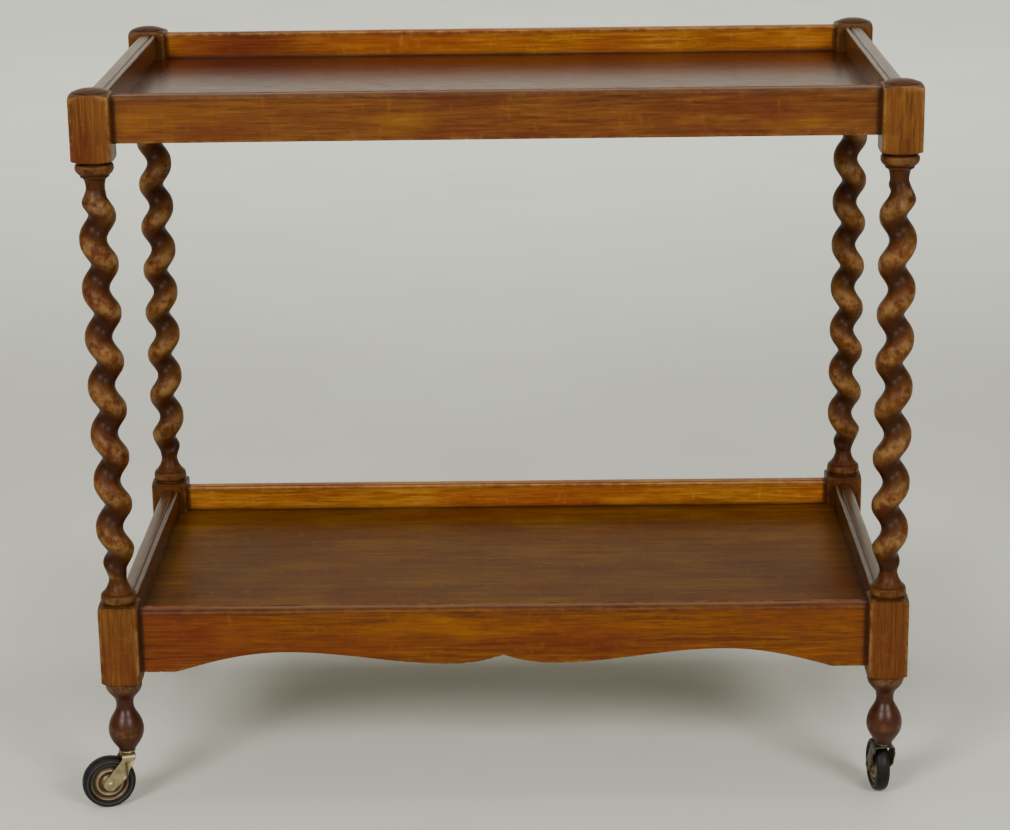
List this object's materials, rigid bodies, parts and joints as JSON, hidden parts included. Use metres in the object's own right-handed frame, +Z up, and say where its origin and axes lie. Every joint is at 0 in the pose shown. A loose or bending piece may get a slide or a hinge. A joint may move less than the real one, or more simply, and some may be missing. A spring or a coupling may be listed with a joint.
{
  "type": "bar cart on wheels",
  "caption": "Two-tier wooden bar cart with tray tops, barley-twist legs and swivel caster wheels, for serving drinks or tea.",
  "frame": {"origin": "centre of the footprint, on the floor", "axes": "+X to the right along the long front, +Y towards the rear, +Z up"},
  "size_m": [0.8362, 0.4304, 0.7155],
  "materials": {
    "rail_oak": "golden-brown stained oak, waxed",
    "leg_oak": "dark red-brown stained oak, polished",
    "panel_oak": "brown stained oak veneer, satin polish",
    "plated_steel": "worn plated sheet steel",
    "bronze": "bronze-brown enamelled steel disc",
    "rubber": "moulded black rubber"
  },
  "bodies": {
    "frame": {"leg_front_left": "leg_oak", "leg_front_right": "leg_oak", "leg_rear_left": "leg_oak", "leg_rear_right": "leg_oak", "top_rail_front": "rail_oak", "top_rail_rear": "rail_oak", "top_rail_left": "rail_oak", "top_rail_right": "rail_oak", "lower_apron_front": "rail_oak", "lower_apron_rear": "rail_oak", "lower_rail_left": "rail_oak", "lower_rail_right": "rail_oak", "top_panel": "panel_oak", "lower_panel": "panel_oak", "caster_socket_front_left": "plated_steel", "caster_socket_front_right": "plated_steel", "caster_socket_rear_left": "plated_steel", "caster_socket_rear_right": "plated_steel"},
    "front_left_fork": {"caster_fork_front_left": "plated_steel", "caster_stem_front_left": "plated_steel", "caster_axle_front_left": "plated_steel"},
    "front_left_wheel": {"wheel_disc_front_left": "bronze", "wheel_tyre_front_left": "rubber"},
    "front_right_fork": {"caster_fork_front_right": "plated_steel", "caster_stem_front_right": "plated_steel", "caster_axle_front_right": "plated_steel"},
    "front_right_wheel": {"wheel_disc_front_right": "bronze", "wheel_tyre_front_right": "rubber"},
    "rear_left_fork": {"caster_fork_rear_left": "plated_steel", "caster_stem_rear_left": "plated_steel", "caster_axle_rear_left": "plated_steel"},
    "rear_left_wheel": {"wheel_disc_rear_left": "bronze", "wheel_tyre_rear_left": "rubber"},
    "rear_right_fork": {"caster_fork_rear_right": "plated_steel", "caster_stem_rear_right": "plated_steel", "caster_axle_rear_right": "plated_steel"},
    "rear_right_wheel": {"wheel_disc_rear_right": "bronze", "wheel_tyre_rear_right": "rubber"}
  },
  "joints": [
    {"name": "front_left_swivel", "type": "hinge", "parent": "frame", "child": "front_left_fork", "pos_m": [-0.373, -0.196, 0.0556], "axis": [0, 0, 1], "continuous": true},
    {"name": "front_left_roll", "type": "hinge", "parent": "front_left_fork", "child": "front_left_wheel", "pos_m": [-0.39202, -0.20218, 0.0265], "axis": [0.309, -0.9511, 0], "continuous": true},
    {"name": "front_right_swivel", "type": "hinge", "parent": "frame", "child": "front_right_fork", "pos_m": [0.373, -0.196, 0.0556], "axis": [0, 0, 1], "continuous": true},
    {"name": "front_right_roll", "type": "hinge", "parent": "front_right_fork", "child": "front_right_wheel", "pos_m": [0.37056, -0.17615, 0.0265], "axis": [-0.9925, -0.1219, 0], "continuous": true},
    {"name": "rear_left_swivel", "type": "hinge", "parent": "frame", "child": "rear_left_fork", "pos_m": [-0.373, 0.196, 0.0556], "axis": [0, 0, 1], "continuous": true},
    {"name": "rear_left_roll", "type": "hinge", "parent": "rear_left_fork", "child": "rear_left_wheel", "pos_m": [-0.37056, 0.17615, 0.0265], "axis": [0.9925, 0.1219, 0], "continuous": true},
    {"name": "rear_right_swivel", "type": "hinge", "parent": "frame", "child": "rear_right_fork", "pos_m": [0.373, 0.196, 0.0556], "axis": [0, 0, 1], "continuous": true},
    {"name": "rear_right_roll", "type": "hinge", "parent": "rear_right_fork", "child": "rear_right_wheel", "pos_m": [0.39202, 0.20218, 0.0265], "axis": [-0.309, 0.9511, 0], "continuous": true}
  ]
}
